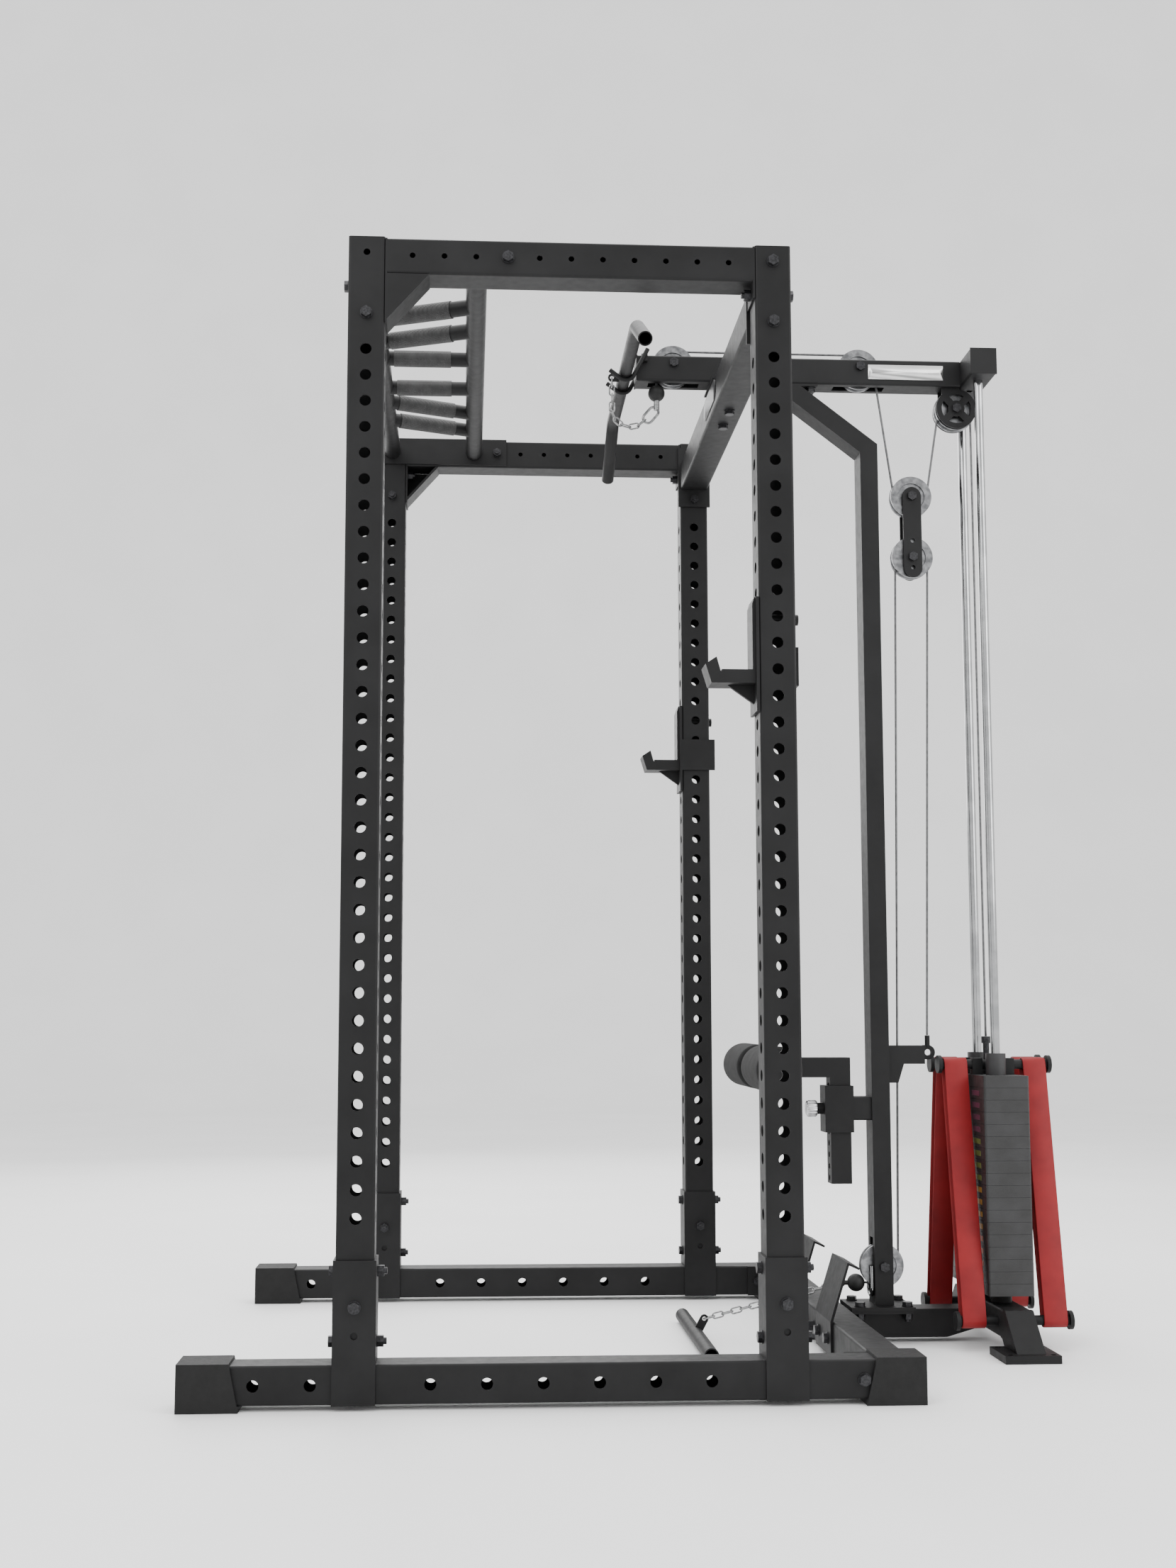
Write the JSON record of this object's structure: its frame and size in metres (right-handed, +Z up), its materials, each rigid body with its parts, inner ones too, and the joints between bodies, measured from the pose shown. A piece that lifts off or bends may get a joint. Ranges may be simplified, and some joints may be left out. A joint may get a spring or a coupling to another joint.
{
  "type": "power cage",
  "caption": "Free-standing power cage with pull-up frame, J-cups, and a lat and low row cable tower with selectorised weight stack and assist bands.",
  "frame": {"origin": "middle of the footprint, on the floor", "axes": "+X from the front uprights back to the weight stack, +Y to the left side, +Z up"},
  "size_m": [1.794, 1.274, 2.224],
  "materials": {
    "black_steel": "fine textured black powder coat",
    "black_bolt": "black oxide",
    "rubber_black": "matt rubber",
    "rubber_ball": "smooth rubber",
    "foam": "closed cell foam",
    "latex": "smooth red latex",
    "pulley_metal": "turned aluminium",
    "chrome": "polished",
    "zinc": "bright zinc",
    "cable": "grey coated steel rope",
    "iron_plate": "black painted iron",
    "badge": "satin blank badge",
    "knob": "grey ribbed plastic"
  },
  "bodies": {
    "frame": {"upright_front_right": "black_steel", "upright_front_left": "black_steel", "upright_rear_right": "black_steel", "upright_rear_left": "black_steel", "base_rail_right": "black_steel", "base_rail_left": "black_steel", "rail_boots": "rubber_black", "foot_sleeves": "black_steel", "side_beam_right": "black_steel", "side_beam_left": "black_steel", "top_crossbeam": "black_steel", "blank_badges": "badge", "pull_up_frame": "black_steel", "pull_up_grips": "rubber_black", "floor_crossmember": "black_steel", "footrests": "black_steel", "tower_floor_beam": "black_steel", "stack_base": "black_steel", "tower_post": "black_steel", "lat_beam": "black_steel", "pulley_axles": "black_bolt", "stack_pulley_cover": "black_steel", "guide_rods": "chrome", "stack_bumpers": "rubber_black", "cable_anchor": "black_steel", "knee_post_sleeve": "black_steel", "low_cable_guide": "chrome", "lower_band_pegs": "black_steel", "frame_bolts": "black_bolt", "weight_plates_resting": "iron_plate", "lat_cable": "cable", "row_cable": "cable", "resistance_bands": "latex", "lat_chain": "zinc"},
    "carriage": {"weight_plates_selected": "iron_plate", "head_plate": "iron_plate", "selector_stem": "black_bolt", "guide_collars": "knob", "upper_band_pegs": "black_steel"},
    "pin": {"selector_pin": "knob"},
    "lat_end": {"lat_ball_stop": "rubber_ball", "lat_carabiner": "zinc"},
    "bar": {"lat_bar": "black_steel"},
    "block": {"block_plates": "black_steel", "block_axles": "black_bolt"},
    "upper_wheel": {"upper_block_wheel": "pulley_metal"},
    "lower_wheel": {"lower_block_wheel": "pulley_metal"},
    "pulley_front": {"front_pulley": "pulley_metal"},
    "pulley_middle": {"middle_pulley": "pulley_metal"},
    "pulley_stack": {"stack_pulley": "pulley_metal"},
    "pulley_low": {"low_pulley": "pulley_metal"},
    "row_end": {"row_handle": "black_steel", "row_chain": "zinc", "row_ball_stop": "rubber_ball"},
    "cup_right": {"j_cup_right": "black_steel"},
    "cup_left": {"j_cup_left": "black_steel"},
    "roller_frame": {"knee_post": "black_steel"},
    "roller_right": {"knee_roller_right": "foam"},
    "roller_left": {"knee_roller_left": "foam"},
    "pull_pin": {"pop_pin": "knob"}
  },
  "joints": [
    {"name": "stack_lift", "type": "slide", "parent": "frame", "child": "carriage", "axis": [0, 0, 1], "range_m": [0, 0.9], "deforming": ["lat_cable", "resistance_bands"]},
    {"name": "selector_pin_pull", "type": "slide", "parent": "carriage", "child": "pin", "axis": [-1, 0, 0], "range_m": [0, 0.11]},
    {"name": "lat_pull", "type": "slide", "parent": "frame", "child": "lat_end", "axis": [0, 0, -1], "range_m": [0, 0.9], "deforming": ["lat_cable", "lat_chain"]},
    {"name": "lat_bar_lift", "type": "slide", "parent": "frame", "child": "bar", "axis": [0, 0, 1], "range_m": [0, 0.03], "deforming": ["lat_chain"]},
    {"name": "row_pull", "type": "slide", "parent": "frame", "child": "row_end", "axis": [-1, 0, 0], "range_m": [0, 0.8], "deforming": ["row_cable"]},
    {"name": "block_travel", "type": "slide", "parent": "frame", "child": "block", "axis": [0, 0, -1], "range_m": [0, 0.4], "deforming": ["row_cable", "lat_cable"]},
    {"name": "front_pulley_spin", "type": "hinge", "parent": "frame", "child": "pulley_front", "pos_m": [0.078, 0, 2.177], "axis": [0, 1, 0], "continuous": true},
    {"name": "middle_pulley_spin", "type": "hinge", "parent": "frame", "child": "pulley_middle", "pos_m": [0.506, 0, 2.177], "axis": [0, 1, 0], "continuous": true},
    {"name": "stack_pulley_spin", "type": "hinge", "parent": "frame", "child": "pulley_stack", "pos_m": [0.73, 0, 2.086], "axis": [0, 1, 0], "continuous": true},
    {"name": "upper_wheel_spin", "type": "hinge", "parent": "block", "child": "upper_wheel", "pos_m": [0.6225, 0, 1.879], "axis": [0, 1, 0], "continuous": true},
    {"name": "low_pulley_spin", "type": "hinge", "parent": "frame", "child": "pulley_low", "pos_m": [0.5227, 0, 0.1594], "axis": [0, 1, 0], "continuous": true},
    {"name": "lower_wheel_spin", "type": "hinge", "parent": "block", "child": "lower_wheel", "pos_m": [0.6225, 0, 1.7375], "axis": [0, 1, 0], "continuous": true},
    {"name": "cup_right_swing", "type": "hinge", "parent": "frame", "child": "cup_right", "pos_m": [0.164, -0.5875, 1.4541], "axis": [1, 0, 0], "range_deg": [0, 90]},
    {"name": "cup_left_swing", "type": "hinge", "parent": "frame", "child": "cup_left", "pos_m": [0.164, 0.5875, 1.4541], "axis": [-1, 0, 0], "range_deg": [0, 90]},
    {"name": "roller_height", "type": "slide", "parent": "frame", "child": "roller_frame", "axis": [0, 0, 1], "range_m": [-0.015, 0.125]},
    {"name": "roller_right_spin", "type": "hinge", "parent": "roller_frame", "child": "roller_right", "pos_m": [0.263, -0.1295, 0.588], "axis": [0, 1, 0], "continuous": true},
    {"name": "roller_left_spin", "type": "hinge", "parent": "roller_frame", "child": "roller_left", "pos_m": [0.263, 0.1295, 0.588], "axis": [0, 1, 0], "continuous": true},
    {"name": "pop_pin_pull", "type": "slide", "parent": "frame", "child": "pull_pin", "axis": [-1, 0, 0], "range_m": [0, 0.008], "stiffness_N_per_m": 800, "springref_m": -0.004}
  ],
  "couplings": [
    {"joint": "lat_pull", "follows": "stack_lift", "ratio": 1},
    {"joint": "front_pulley_spin", "follows": "stack_lift", "rad_per_m": -27.027},
    {"joint": "middle_pulley_spin", "follows": "stack_lift", "rad_per_m": -27.027},
    {"joint": "stack_pulley_spin", "follows": "stack_lift", "rad_per_m": -27.027},
    {"joint": "upper_wheel_spin", "follows": "stack_lift", "rad_per_m": 27.027},
    {"joint": "block_travel", "follows": "row_pull", "ratio": 0.5},
    {"joint": "low_pulley_spin", "follows": "row_pull", "rad_per_m": 27.027},
    {"joint": "lower_wheel_spin", "follows": "row_pull", "rad_per_m": -13.514}
  ]
}
